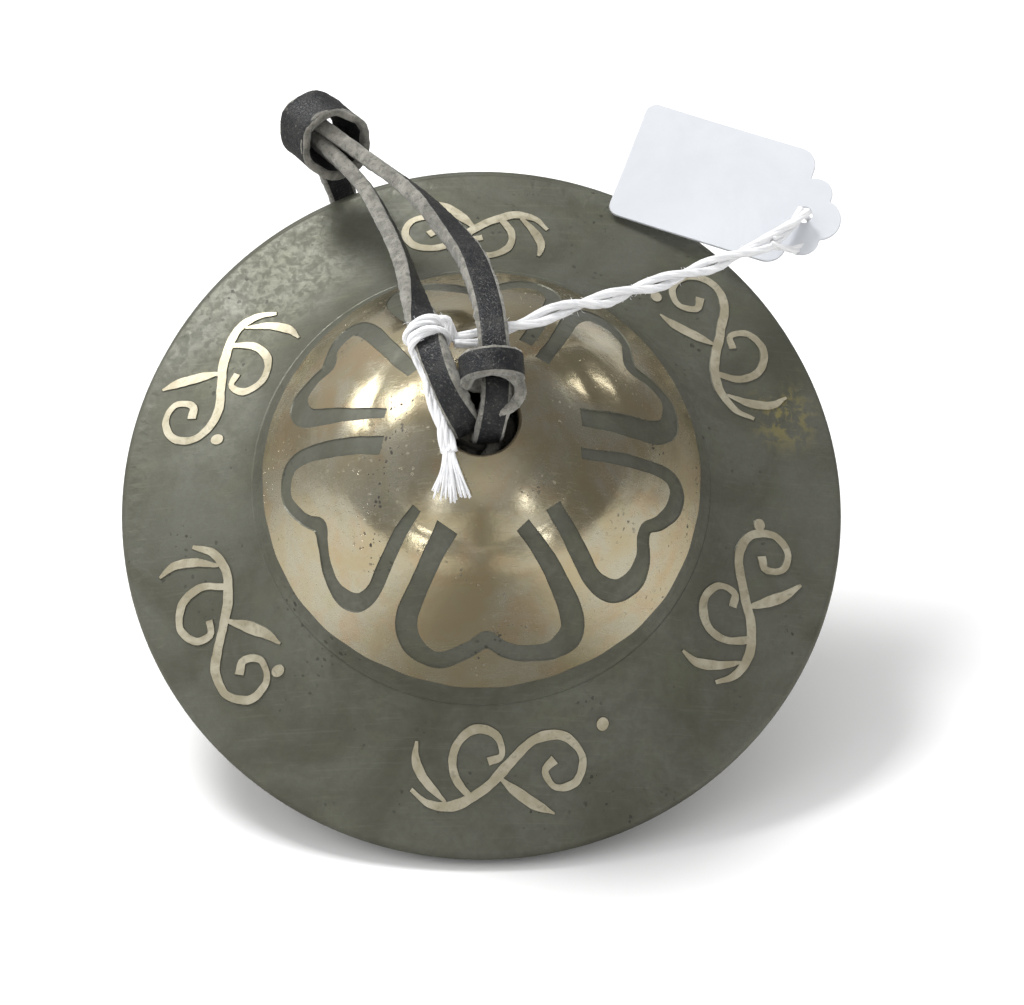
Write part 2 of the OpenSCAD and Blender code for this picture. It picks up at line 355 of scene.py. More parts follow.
def within(points, polygon, margin=1e-4):
    """Which points are inside the polygon, or on it."""
    result = np.zeros(len(points), bool)
    low, high = polygon.min(0) - 0.01, polygon.max(0) + 0.01
    near = np.flatnonzero(((points > low) & (points < high)).all(1))
    if not len(near):
        return result
    p = points[near][:, None]
    a = polygon[None]
    b = np.roll(polygon, -1, axis=0)[None]
    crosses = (a[..., 1] > p[..., 1]) != (b[..., 1] > p[..., 1])
    rise = np.where(b[..., 1] == a[..., 1], 1e-12, b[..., 1] - a[..., 1])
    x = a[..., 0] + (p[..., 1] - a[..., 1]) * (b[..., 0] - a[..., 0]) / rise
    inside = (crosses & (p[..., 0] < x)).sum(1) % 2 == 1
    ab = b - a
    t = np.clip(((p - a) * ab).sum(-1) / np.maximum((ab**2).sum(-1), 1e-12), 0, 1)
    gap = np.linalg.norm(p - (a + t[..., None] * ab), axis=-1).min(1)
    result[near] = inside | (gap < margin)
    return result


def filled(points, edges, kind, tolerance):
    """Triangles over flat points, cut along the edges."""
    flat = [Vector(p) for p in points]
    found = geometry.delaunay_2d_cdt(flat, edges, [], kind, tolerance, False)
    return np.array([tuple(v) for v in found[0]]), np.array(found[2], int)


def face_areas(flat, faces):
    """Twice each triangle's area, negative where it runs clockwise."""
    d1 = flat[faces[:, 1]] - flat[faces[:, 0]]
    d2 = flat[faces[:, 2]] - flat[faces[:, 0]]
    return d1[:, 0] * d2[:, 1] - d1[:, 1] * d2[:, 0]


def ring(radius, count):
    angle = np.linspace(0, 2 * math.pi, count, endpoint=False)
    r = np.broadcast_to(radius(angle) if callable(radius) else radius, count)
    return np.stack([np.cos(angle), np.sin(angle)], 1) * r[:, None]


def make_cymbal(name, seed, materials):
    """One cast and etched cymbal, its mouth down at the origin, in metres.

    The outer skin is cut along every etched line, and the etched parts lie a
    little lower than the polished ones, with a small bevel between them.
    """
    around = 360

    def foot(a):
        return 22.22 + 0.1 * np.sin(3 * a + seed) + 0.06 * np.sin(7 * a) + 0.03 * np.sin(29 * a)

    def foot_low(a):
        return foot(a) + 0.09

    petal_tops = [stroke(p, 0.0, seed + i) for i, p in enumerate(PETALS)]
    petal_floors = [stroke(p, -BEVEL, seed + i) for i, p in enumerate(PETALS)]
    sprig_tops, sprig_feet = [], []
    for i, (middle, half, turn, mirrored, bud) in enumerate(SPRIGS):
        for j, s in enumerate(sprig_strokes(middle, half, turn, mirrored)):
            sprig_tops.append(stroke(s, 0.0, seed + 9 * i + j, 0.08))
            sprig_feet.append(stroke(s, BEVEL, seed + 9 * i + j, 0.08))
        sprig_tops.append(round_bud(bud, BUD, 0, seed + i))
        sprig_feet.append(round_bud(bud, BUD, BEVEL, seed + i))
    rings = [
        ring(HOLE + HOLE_ROUND, around),
        ring(foot, around),
        ring(foot_low, around),
        *(ring(r, around) for r in GROOVE),
        ring(PROFILE_R[-1], around),
    ]
    loops = rings + petal_tops + petal_floors + sprig_tops + sprig_feet
    flat_loops = [unrolled(loop) for loop in loops]
    edges, base = [], 0
    for loop in flat_loops:
        count = len(loop)
        edges += [(base + k, base + (k + 1) % count) for k in range(count)]
        base += count
    outline = np.vstack(flat_loops)

    # Fill points between the lines, on a slightly shaken grid.
    rng = np.random.default_rng(seed)
    pitch = 0.95
    far_rim = PROFILE_FAR[-1]
    rows = np.arange(-far_rim, far_rim, pitch * 0.866)
    fill = []
    for i, y in enumerate(rows):
        x = np.arange(-far_rim, far_rim, pitch) + (i % 2) * pitch / 2
        fill.append(np.column_stack([x, np.full(len(x), y)]))
    fill = np.vstack(fill)
    fill += rng.uniform(-0.12, 0.12, fill.shape)
    far = np.linalg.norm(fill, axis=1)
    fill = fill[(far < far_rim - 0.5) & (far > PROFILE_FAR[0] + 0.9)]
    lines = np.vstack([0.5 * (loop + np.roll(loop, -1, axis=0)) for loop in flat_loops])
    near = np.vstack([outline, lines])
    keep = np.ones(len(fill), bool)
    cell = {}
    for q in near:
        cell.setdefault((int(q[0] // 1), int(q[1] // 1)), []).append(q)
    for i, q in enumerate(fill):
        cx, cy = int(q[0] // 1), int(q[1] // 1)
        close = [n for dx in (-1, 0, 1) for dy in (-1, 0, 1) for n in cell.get((cx + dx, cy + dy), ())]
        if close and np.min(np.sum((np.array(close) - q) ** 2, axis=1)) < 0.42**2:
            keep[i] = False
    fill = fill[keep]

    flat, faces = filled(np.vstack([outline, fill]), edges, 0, 1e-5)
    plan = rolled(flat)
    r = np.linalg.norm(plan, axis=1)
    middle = plan[faces].mean(1)
    inner_edge = np.linalg.norm(middle, axis=1) > HOLE + 0.29
    faces = faces[inner_edge]
    middle = middle[inner_edge]
    area = face_areas(flat, faces)
    real = np.abs(area) > 1e-7
    faces, middle, area = faces[real], middle[real], area[real]
    faces[area < 0] = faces[area < 0][:, ::-1]

    # How deep the etching is at each point, and which faces stay polished.
    angle = np.arctan2(plan[:, 1], plan[:, 0])
    raised = np.zeros(len(plan), bool)
    for top in sprig_tops:
        raised |= within(plan, top)
    sunk = np.zeros(len(plan), bool)
    for floor in petal_floors:
        sunk |= within(plan, floor)
    sunk |= (r > foot_low(angle % (2 * math.pi)) - 1e-3) & ~raised
    depth = np.where(sunk, ETCH, 0.0)
    depth = np.where(np.abs(r - GROOVE[1]) < 1e-3, GROOVE_DEPTH, depth)
    to_rim = np.clip((r - 35.2) / 1.5, 0, 1)
    depth *= 1 - to_rim**2 * (3 - 2 * to_rim)
    middle_angle = np.arctan2(middle[:, 1], middle[:, 0]) % (2 * math.pi)
    polished = np.linalg.norm(middle, axis=1) < foot(middle_angle)
    for top in petal_tops:
        polished &= ~within(middle, top, 0)
    for top in sprig_tops:
        polished |= within(middle, top, 0)

    slope = slope_at(r)
    outward = plan / np.maximum(r, 1e-9)[:, None]
    normal = np.column_stack([outward * np.sin(slope)[:, None], np.cos(slope)])
    skin = np.column_stack([plan, height_at(r)]) - normal * depth[:, None]
    bevels = np.ptp(depth[faces], axis=1) > 0.04
    corner = normal[faces]
    cut = np.cross(skin[faces[:, 1]] - skin[faces[:, 0]], skin[faces[:, 2]] - skin[faces[:, 0]])
    corner[bevels] = unit(cut)[bevels][:, None]

    # The rim, the inside and the hole close the wall, ring by ring.
    turn = np.linspace(0, 2 * math.pi, around, endpoint=False)
    spoke = np.column_stack([np.cos(turn), np.sin(turn)])
    section, tilt = [], []
    for a in np.radians(np.linspace(68, -112, 11)):
        section.append((RIM + EDGE * math.cos(a), EDGE + EDGE * math.sin(a)))
        tilt.append((math.cos(a), math.sin(a)))
    wanted = np.linspace(PROFILE_FAR[-1], PROFILE_FAR[0], 42)[1:]
    for f in wanted:
        pr = np.interp(f, PROFILE_FAR, PROFILE_R)
        ph = np.interp(f, PROFILE_FAR, PROFILE_H)
        s = np.interp(f, PROFILE_FAR, PROFILE_SLOPE)
        point = (pr - WALL * math.sin(s), ph - WALL * math.cos(s))
        if point[0] > HOLE + 0.35:
            section.append(point)
            tilt.append((-math.sin(s), -math.cos(s)))
    low = height_at(HOLE) - WALL / math.cos(math.radians(12))
    for a in np.radians(np.linspace(-90, 0, 4)):
        section.append((HOLE + HOLE_ROUND * (1 - math.cos(a)), low + HOLE_ROUND * (1 + math.sin(a))))
        tilt.append((-math.cos(a), math.sin(a)))
    top = height_at(HOLE + HOLE_ROUND) - HOLE_ROUND
    for a in np.radians(np.linspace(0, 90, 5)):
        section.append((HOLE + HOLE_ROUND * (1 - math.cos(a)), top + HOLE_ROUND * math.sin(a)))
        tilt.append((-math.cos(a), math.sin(a)))
    section, tilt = np.array(section), np.array(tilt)
    ringed = np.concatenate([
        spoke[None] * section[:, 0][:, None, None],
        np.broadcast_to(section[:, 1][:, None, None], (len(section), around, 1)),
    ], axis=2)
    ring_normal = np.concatenate([
        spoke[None] * tilt[:, 0][:, None, None],
        np.broadcast_to(tilt[:, 1][:, None, None], (len(section), around, 1)),
    ], axis=2)
    base = len(skin)
    i = np.arange(len(section) - 1)[:, None] * around
    k = np.arange(around)[None]
    m = (k + 1) % around
    quads = np.stack([i + k, i + around + k, i + around + m, i + m], -1).reshape(-1, 4)
    all_points = np.vstack([skin, ringed.reshape(-1, 3)])
    all_faces = [tuple(f) for f in faces] + [tuple(q) for q in quads + base]
    quad_rows = np.repeat(np.arange(len(section) - 1), around)
    # Polished metal on the skin's raised parts, patina on the rest, a duller inside.
    beyond = np.linalg.norm(plan[faces].mean(1), axis=1) > GROOVE[2]
    slots = np.concatenate([np.where(polished, 3 * beyond, 1), np.where(quad_rows < 10, 1, 2)])
    piece = make_mesh(name, all_points * MM, all_faces, materials, slots)
    quad_normals = unit(ring_normal.reshape(-1, 3)[quads])
    loop_normals = np.vstack([corner.reshape(-1, 3), quad_normals.reshape(-1, 3)])
    piece.data.normals_split_custom_set(loop_normals.tolist())
    return piece


# ---------------------------------------------------------------- finishes
def new_group(name, inputs, outputs):
    """A node group for a surface effect, and a maker of its nodes."""
    group = bpy.data.node_groups.new(name, "ShaderNodeTree")
    for label, kind, value in inputs:
        socket = group.interface.new_socket(label, in_out="INPUT", socket_type=kind)
        if value is not None:
            socket.default_value = value
    for label, kind in outputs:
        group.interface.new_socket(label, in_out="OUTPUT", socket_type=kind)
    return group, group.nodes.new("NodeGroupInput"), group.nodes.new("NodeGroupOutput")


def feed(tree, node, **inputs):
    """A node's inputs, each a value on its own socket or a link."""
    for key, value in inputs.items():
        key = key.replace("_", " ")
        socket = node.inputs[int(key[3:])] if key.startswith("at ") else node.inputs[key]
        if isinstance(value, bpy.types.NodeSocket):
            tree.links.new(value, socket)
        else:
            socket.default_value = value


def put(tree, kind, settings=None, **inputs):
    """One node, with its settings and its inputs."""
    node = tree.nodes.new("ShaderNode" + kind)
    for key, value in (settings or {}).items():
        setattr(node, key, value)
    feed(tree, node, **inputs)
    return node


def spread(tree, value, low, high, to_low=0.0, to_high=1.0):
    node = put(tree, "MapRange", {"interpolation_type": "SMOOTHSTEP"}, Value=value)
    node.inputs["From Min"].default_value = low
    node.inputs["From Max"].default_value = high
    node.inputs["To Min"].default_value = to_low
    node.inputs["To Max"].default_value = to_high
    return node.outputs["Result"]


def math_node(tree, operation, a, b=0.0):
    return put(tree, "Math", {"operation": operation}, at_0=a, at_1=b).outputs[0]


def mixed(tree, factor, a, b, blend="MIX"):
    node = tree.nodes.new("ShaderNodeMix")
    node.data_type = "RGBA"
    node.blend_type = blend
    for socket, value in ((node.inputs[0], factor), (node.inputs[6], a), (node.inputs[7], b)):
        if isinstance(value, bpy.types.NodeSocket):
            tree.links.new(value, socket)
        else:
            socket.default_value = value if isinstance(value, float) else (*value, 1)
    return node.outputs[2]


def tinted(tree, color, mask, amount, tint):
    """The colour with some of a tint over it where the mask says."""
    return mixed(tree, math_node(tree, "MULTIPLY", mask, amount), color, tint)


def mottle_group():
    """Blotches: cloudy noise with a finer one in it, cut to a mask."""
    group, given, out = new_group(
        "blotches",
        [("Vector", "NodeSocketVector", None), ("Scale", "NodeSocketFloat", 1.0),
         ("From", "NodeSocketFloat", 0.4), ("To", "NodeSocketFloat", 0.6)],
        [("Mask", "NodeSocketFloat")],
    )
    noise = put(group, "TexNoise", Vector=given.outputs["Vector"], Scale=given.outputs["Scale"],
                Detail=6.0, Roughness=0.62, Distortion=0.6)
    cut = put(group, "MapRange", {"interpolation_type": "SMOOTHSTEP"}, Value=noise.outputs["Fac"])
    group.links.new(given.outputs["From"], cut.inputs["From Min"])
    group.links.new(given.outputs["To"], cut.inputs["From Max"])
    group.links.new(cut.outputs["Result"], out.inputs["Mask"])
    return group


def pits_group():
    """Casting pits and specks, thicker in some places than in others."""
    group, given, out = new_group(
        "pits",
        [("Vector", "NodeSocketVector", None), ("Scale", "NodeSocketFloat", 1.0),
         ("Amount", "NodeSocketFloat", 0.5)],
        [("Mask", "NodeSocketFloat")],
    )
    bent = put(group, "TexNoise", Vector=given.outputs["Vector"], Scale=2.2, Detail=3.0)
    shift = put(group, "VectorMath", {"operation": "MULTIPLY_ADD"}, at_0=bent.outputs["Color"],
                at_1=(0.5, 0.5, 0.5), at_2=given.outputs["Vector"])
    cells = put(group, "TexVoronoi", Vector=shift.outputs[0], Scale=given.outputs["Scale"])
    size = put(group, "SeparateColor", Color=cells.outputs["Color"])
    reach = math_node(group, "MULTIPLY", size.outputs[0], given.outputs["Amount"])
    dots = math_node(group, "LESS_THAN", cells.outputs["Distance"], reach)
    crowd = put(group, "TexNoise", Vector=given.outputs["Vector"], Scale=0.16, Detail=4.0)
    crowd = spread(group, crowd.outputs["Fac"], 0.5, 0.66)
    group.links.new(math_node(group, "MULTIPLY", dots, crowd), out.inputs["Mask"])
    return group


def scratches_group():
    """Fine rubbing marks in two directions."""
    group, given, out = new_group(
        "scratches",
        [("Vector", "NodeSocketVector", None), ("Scale", "NodeSocketFloat", 1.0)],
        [("Mask", "NodeSocketFloat")],
    )
    lines = []
    for turn, stretch in ((0.5, (0.07, 2.2, 0.4)), (2.1, (0.09, 2.6, 0.4))):
        turned = put(group, "Mapping", Vector=given.outputs["Vector"], Rotation=(0, 0, turn),
                     Scale=stretch)
        noise = put(group, "TexNoise", Vector=turned.outputs[0], Scale=given.outputs["Scale"],
                    Detail=2.0)
        lines.append(spread(group, noise.outputs["Fac"], 0.62, 0.7))
    group.links.new(math_node(group, "MAXIMUM", *lines), out.inputs["Mask"])
    return group


BLOTCHES = mottle_group()
PITS = pits_group()
SCRATCHES = scratches_group()


def placed(tree, group, vector, **values):
    node = tree.nodes.new("ShaderNodeGroup")
    node.node_tree = group
    tree.links.new(vector, node.inputs["Vector"])
    for key, value in values.items():
        node.inputs[key].default_value = value
    return node.outputs["Mask"]


def new_finish(name):
    """A material with its Principled shader, and the pair's coordinates in millimetres."""
    m = bpy.data.materials.new(name)
    m.use_nodes = True
    tree = m.node_tree
    shader = tree.nodes["Principled BSDF"]
    where = tree.nodes.new("ShaderNodeTexCoord").outputs["Object"]
    where = put(tree, "Mapping", {"vector_type": "TEXTURE"}, Vector=where, Location=tuple(MIDDLE),
                Rotation=Matrix(TURN.T.tolist()).to_euler(), Scale=(MM, MM, MM)).outputs[0]
    return m, tree, shader, where


def bump(tree, height, strength, distance, normal=None):
    node = put(tree, "Bump", Height=height, Strength=strength, Distance=distance)
    if normal is not None:
        tree.links.new(normal, node.inputs["Normal"])
    return node.outputs["Normal"]


def polished_bronze():
    m, tree, shader, where = new_finish("polished_bronze")
    broad = placed(tree, BLOTCHES, where, Scale=0.11, From=0.38, To=0.64)
    warm = placed(tree, BLOTCHES, where, Scale=0.19, From=0.48, To=0.68)
    olive = placed(tree, BLOTCHES, where, Scale=0.31, From=0.5, To=0.72)
    pits = placed(tree, PITS, where, Scale=1.9, Amount=0.34)
    rubs = placed(tree, SCRATCHES, where, Scale=2.4)
    color = mixed(tree, broad, (0.60, 0.52, 0.345), (0.64, 0.60, 0.475))
    color = tinted(tree, color, warm, 0.55, (0.63, 0.46, 0.28))
    color = tinted(tree, color, olive, 0.4, (0.55, 0.53, 0.33))
    color = mixed(tree, pits, color, (0.05, 0.045, 0.035))
    rough = put(tree, "Math", {"operation": "MULTIPLY_ADD"}, at_0=rubs, at_1=0.07,
                at_2=spread(tree, broad, 0, 1, 0.2, 0.27)).outputs[0]
    rough = put(tree, "Math", {"operation": "MULTIPLY_ADD"}, at_0=pits, at_1=0.4, at_2=rough).outputs[0]
    swell = put(tree, "TexNoise", Vector=where, Scale=0.13, Detail=2.0)
    normal = bump(tree, swell.outputs["Fac"], 0.35, 0.0006)
    fine = put(tree, "TexNoise", Vector=where, Scale=1.6, Detail=5.0)
    normal = bump(tree, fine.outputs["Fac"], 0.18, 0.00008, normal)
    normal = bump(tree, math_node(tree, "SUBTRACT", 1.0, pits), 0.6, 0.00012, normal)
    feed(tree, shader, Base_Color=color, Roughness=rough,
         Metallic=math_node(tree, "SUBTRACT", 1.0, pits), Normal=normal)
    return m


def bright_strokes():
    m, tree, shader, where = new_finish("bright_strokes")
    cloud = placed(tree, BLOTCHES, where, Scale=0.4, From=0.38, To=0.66)
    worn = placed(tree, BLOTCHES, where, Scale=1.6, From=0.54, To=0.7)
    color = mixed(tree, cloud, (0.43, 0.385, 0.27), (0.56, 0.52, 0.40))
    color = tinted(tree, color, worn, 0.45, (0.2, 0.19, 0.14))
    fine = put(tree, "TexNoise", Vector=where, Scale=1.8, Detail=5.0)
    feed(tree, shader, Base_Color=color, Metallic=0.5, Roughness=spread(tree, cloud, 0, 1, 0.36, 0.46),
         Normal=bump(tree, fine.outputs["Fac"], 0.2, 0.00008))
    return m


def dark_patina():
    m, tree, shader, where = new_finish("dark_patina")
    cloud = placed(tree, BLOTCHES, where, Scale=0.09, From=0.34, To=0.66)
    fine = placed(tree, BLOTCHES, where, Scale=1.1, From=0.36, To=0.66)
    green = placed(tree, BLOTCHES, where, Scale=0.22, From=0.5, To=0.7)
    pits = placed(tree, PITS, where, Scale=1.3, Amount=0.3)
    rubs = placed(tree, SCRATCHES, where, Scale=1.7)
    color = mixed(tree, cloud, (0.104, 0.104, 0.078), (0.150, 0.152, 0.125))
    color = tinted(tree, color, fine, 0.3, (0.10, 0.10, 0.08))
    color = tinted(tree, color, green, 0.35, (0.15, 0.155, 0.10))
    stain = put(tree, "VectorMath", {"operation": "DISTANCE"}, at_0=where, at_1=(32, 8, 4.5))
    stain = spread(tree, stain.outputs["Value"], 1.0, 5.5, 0.75, 0.0)
    spots = placed(tree, BLOTCHES, where, Scale=0.75, From=0.45, To=0.6)
    stain = math_node(tree, "MULTIPLY", stain, spots)
    color = mixed(tree, stain, color, (0.30, 0.26, 0.10))
    color = tinted(tree, color, rubs, 0.07, (0.36, 0.34, 0.28))
    color = tinted(tree, color, pits, 0.8, (0.05, 0.048, 0.04))
    swell = put(tree, "TexNoise", Vector=where, Scale=0.12, Detail=2.0)
    normal = bump(tree, swell.outputs["Fac"], 0.3, 0.0006)
    grit = put(tree, "TexNoise", Vector=where, Scale=3.2, Detail=6.0, Roughness=0.7)
    normal = bump(tree, grit.outputs["Fac"], 0.3, 0.00007, normal)
    feed(tree, shader, Base_Color=color, Metallic=0.45, Specular_IOR_Level=0.3,
         Roughness=spread(tree, fine, 0, 1, 0.42, 0.56), Normal=normal)
    return m


def inside_bronze():
    m, tree, shader, where = new_finish("inside_bronze")
    cloud = placed(tree, BLOTCHES, where, Scale=0.14, From=0.36, To=0.66)
    around = put(tree, "SeparateXYZ", Vector=where)
    radius = put(tree, "VectorMath", {"operation": "LENGTH"},
                 at_0=put(tree, "CombineXYZ", X=around.outputs[0], Y=around.outputs[1]).outputs[0])
    turning = put(tree, "Math", {"operation": "SINE"},
                  at_0=math_node(tree, "MULTIPLY", radius.outputs["Value"], 9.0)).outputs[0]
    color = mixed(tree, cloud, (0.27, 0.22, 0.15), (0.40, 0.34, 0.23))
    color = mixed(tree, placed(tree, PITS, where, Scale=1.2, Amount=0.3), color, (0.05, 0.045, 0.04))
    feed(tree, shader, Base_Color=color, Metallic=0.85,
         Roughness=spread(tree, cloud, 0, 1, 0.38, 0.52), Normal=bump(tree, turning, 0.25, 0.00005))
    return m


def leather_grain():
    m, tree, shader, where = new_finish("leather_grain")
    pebbles = put(tree, "TexVoronoi", {"feature": "DISTANCE_TO_EDGE"}, Vector=where, Scale=2.6)
    cells = spread(tree, pebbles.outputs["Distance"], 0.0, 0.16)
    rub = placed(tree, BLOTCHES, where, Scale=0.55, From=0.45, To=0.7)
    dust = placed(tree, BLOTCHES, where, Scale=3.4, From=0.56, To=0.7)
    color = mixed(tree, rub, (0.016, 0.017, 0.02), (0.045, 0.045, 0.043))
    color = tinted(tree, color, dust, 0.75, (0.16, 0.155, 0.135))
    # Darker in the creases between the pebbles, where the bump sinks: painted shade in the recesses.
    color = mixed(tree, spread(tree, cells, 0, 1, 0.5, 0.0), color, (0.012, 0.012, 0.012))
    fine = put(tree, "TexNoise", Vector=where, Scale=4.5, Detail=6.0)
    normal = bump(tree, cells, 0.45, 0.00008)
    feed(tree, shader, Base_Color=color, Roughness=spread(tree, rub, 0, 1, 0.42, 0.68),
         Specular_IOR_Level=0.35, Normal=bump(tree, fine.outputs["Fac"], 0.35, 0.00008, normal))
    return m


def suede():
    m, tree, shader, where = new_finish("suede")
    nap = put(tree, "TexNoise", Vector=where, Scale=5.5, Detail=8.0, Roughness=0.75)
    patch = placed(tree, BLOTCHES, where, Scale=0.7, From=0.38, To=0.66)
    dark = placed(tree, BLOTCHES, where, Scale=2.2, From=0.52, To=0.7)
    color = mixed(tree, patch, (0.15, 0.144, 0.122), (0.29, 0.28, 0.242))
    color = tinted(tree, color, dark, 0.85, (0.06, 0.058, 0.052))
    color = mixed(tree, spread(tree, nap.outputs["Fac"], 0.5, 0.75, 0.0, 0.5), color, (0.4, 0.39, 0.35))
    feed(tree, shader, Base_Color=color, Roughness=0.92, Sheen_Weight=0.25,
         Normal=bump(tree, nap.outputs["Fac"], 0.8, 0.00016))
    return m


def white_cotton():
    m, tree, shader, where = new_finish("white_cotton")
    fibre = put(tree, "TexNoise", Vector=where, Scale=7.0, Detail=6.0, Roughness=0.7)
    grey = placed(tree, BLOTCHES, where, Scale=0.5, From=0.45, To=0.75)
    color = mixed(tree, grey, (0.86, 0.86, 0.87), (0.74, 0.75, 0.77))
    feed(tree, shader, Base_Color=color, Roughness=0.88, Sheen_Weight=0.4,
         Normal=bump(tree, fibre.outputs["Fac"], 0.5, 0.0001))
    return m


def white_card():
    m, tree, shader, where = new_finish("white_card")
    pulp = put(tree, "TexNoise", Vector=where, Scale=2.4, Detail=6.0, Roughness=0.65)
    cloud = placed(tree, BLOTCHES, where, Scale=0.12, From=0.35, To=0.7)
    color = mixed(tree, cloud, (0.60, 0.62, 0.655), (0.64, 0.66, 0.695))
    feed(tree, shader, Base_Color=color,
         Roughness=spread(tree, pulp.outputs["Fac"], 0.3, 0.7, 0.5, 0.66),
         Normal=bump(tree, pulp.outputs["Fac"], 0.12, 0.00006))
    return m


POLISHED = polished_bronze()
STROKES = bright_strokes()
PATINA = dark_patina()
INSIDE = inside_bronze()
GRAIN = leather_grain()
SUEDE = suede()
COTTON = white_cotton()
CARD = white_card()


# ---------------------------------------------------------------- leather
def strap_section(width, thick):
    """Round-cornered section, across and out. It starts on the grain face."""
    w, t, c = width / 2, thick / 2, min(0.35, thick * 0.3)
    grain = [(x, t) for x in np.linspace(w - c, -w + c, 6)]
    left = [(-w + 0.3 * c, t - 0.35 * c), (-w, t * 0.35), (-w, -t * 0.35), (-w + 0.3 * c, -t + 0.35 * c)]
    half = grain + left
    return np.array(half + [(-x, -y) for x, y in half])


def strap_skin(line, sides, width, thick, seed, rough=0.05):
    """A flat strip of leather along a line in metres, with worn, uneven edges."""
    line = np.asarray(line, float)
    heading = unit(np.gradient(line, axis=0))
    sides = np.asarray(sides, float)
    sides = unit(sides - heading * np.sum(sides * heading, axis=1)[:, None])
    face = np.cross(sides, heading)
    section = strap_section(width, thick)
    around = len(section)
    far = np.arange(len(line)) * 0.8
    rng = np.random.default_rng(seed)
    points = []
    for k, (x, y) in enumerate(section):
        edge = abs(x) > width / 2 - 0.3
        shake = rng.normal(0, rough, len(line)) * (1.0 if edge else 0.35)
        slow = waver(far, seed * 31 + k // 3, 0.07 if edge else 0.03)
        grow = 1 + (shake + slow) / (width / 2 if edge else thick / 2)
        wide, high = (grow, 1 + shake * 0.4) if edge else (np.ones(len(line)), grow)
        points.append(line + sides * (x * wide * MM)[:, None] + face * (y * high * MM)[:, None])
    points = np.stack(points, 1).reshape(-1, 3)
    faces = tube_faces(len(line), around)
    row_slots = [0 if k < 5 else 1 for k in range(around)]
    return points, faces, row_slots * (len(line) - 1) + [1, 1]


def strap(name, routes, width=3.0, thick=1.5, seed=0, step=0.45, rough=0.05):
    """Leather strips as one piece. A route has points in the pair's millimetres, and a side each."""
    points, faces, slots, base = [], [], [], 0
    for i, (route, sides) in enumerate(routes):
        route, sides = np.array(route, float), np.array(sides, float)
        both = along(np.column_stack([route, sides]), step)
        line = pair(both[:, :3])
        p, f, s = strap_skin(line, both[:, 3:] @ TURN, width, thick, seed + i, rough)
        points.append(p)
        faces += [tuple(base + n for n in face) for face in f]
        slots += s
        base += len(p)
    return make_mesh(name, np.vstack(points), faces, [GRAIN, SUEDE], slots)


def about(centre, axis, radius, degrees, squash=1.0, drift=0.0, up_hint=(0, 0, 1), slant=0.0,
          toward=(0, 0, 1)):
    """Points and sides of a winding about an axis, for a strap laid flat with its grain out."""
    axis = unit(axis)
    x = unit(np.cross(up_hint, axis))
    y = np.cross(axis, x)
    a = np.radians(degrees)
    r = np.broadcast_to(radius, len(a))[:, None]
    rings = r * (np.cos(a)[:, None] * x + np.sin(a)[:, None] * y * squash)
    rise = (np.linspace(-0.5, 0.5, len(a)) * drift)[:, None] * axis
    rise = rise - slant * (rings @ unit(toward))[:, None] * axis
    return np.array(centre) + rings + rise, np.tile(-axis, (len(a), 1))


RUN_A = [
    (1.3, 3.2, 32.5), (1.2, 5, 32.6), (0.8, 8.4, 31.5), (0, 12.5, 29), (-1.2, 16.6, 26),
    (-3.2, 20.8, 22.5), (-5.7, 25.2, 19), (-8.4, 28.9, 16), (-11.5, 32.5, 13),
    (-14.4, 35.6, 11), (-17, 37.9, 10.2),
    (-18.7, 39.9, 9.1), (-19.2, 40.9, 6.9), (-18, 40.2, 4.2),
    (-16.3, 38.2, -0.4), (-15.2, 36.4, -5.4), (-12.9, 31.8, -13.4), (-9.4, 26.4, -20.4),
    (-5.8, 21.4, -26), (-2.6, 16.4, -30.4), (-0.2, 12.2, -32.6), (0.9, 9, -33.3),
]
SIDE_A = [
    (1, 0.1, 0), (1, 0.1, 0), (1, 0.1, -0.05), (1, 0.15, -0.15), (0.9, 0.25, -0.4),
    (0.65, 0.3, -0.65), (0.35, 0.3, -0.85), (0.15, 0.3, -0.9), (0.05, 0.3, -0.9),
    (0, 0.3, -0.9), (-0.1, 0.2, -0.9),
    (-0.45, -0.2, -0.75), (-0.7, -0.5, -0.4), (-0.8, -0.6, 0),
    (-0.8, -0.58, 0), (-0.85, -0.5, 0), (-0.9, -0.4, 0), (-0.9, -0.3, -0.1),
    (-0.95, -0.3, -0.1), (-1, -0.2, -0.1), (-1, -0.1, -0.1), (-1, -0.1, -0.05),
]
RUN_B = [
    (-1.5, -1.9, 27.4), (-2, -1.3, 29.6), (-3, 0.4, 31.4), (-4, 3, 31), (-5.2, 6.6, 29.6),
    (-6.2, 10.6, 26.8), (-7.2, 15.2, 23.2), (-8.4, 19.8, 19.6), (-9.9, 24.4, 16),
    (-11.9, 29.2, 13), (-14.2, 33, 10.6), (-16.4, 35.7, 9.2),
    (-18.2, 37.9, 7.7), (-18, 38.4, 5.6), (-16.6, 37.2, 2.6),
    (-15.4, 35.8, -1.4), (-13.8, 33, -7), (-10.8, 27.6, -14.8), (-7.4, 21.8, -21.8),
    (-4.8, 16.8, -26.8), (-3, 12.6, -29.6), (-1.9, 9, -31.2),
]
SIDE_B = [
    (0.7, 0.5, 0.4), (0.7, 0.4, 0.45), (0.72, 0.2, 0.6), (0.75, 0.1, 0.6), (0.95, 0.2, 0.2),
    (0.5, 0.3, -0.65), (0.2, 0.3, -0.9), (0.1, 0.3, -0.9), (0.1, 0.3, -0.9),
    (0.05, 0.3, -0.9), (0, 0.3, -0.9), (-0.1, 0.2, -0.9),
    (-0.6, -0.4, -0.55), (-0.8, -0.6, 0), (-0.8, -0.58, 0),
    (-0.85, -0.5, 0), (-0.9, -0.4, 0), (-0.9, -0.3, -0.1), (-0.95, -0.3, -0.1),
    (-1, -0.2, -0.1), (-1, -0.1, -0.1), (-1, -0.1, -0.05),
]


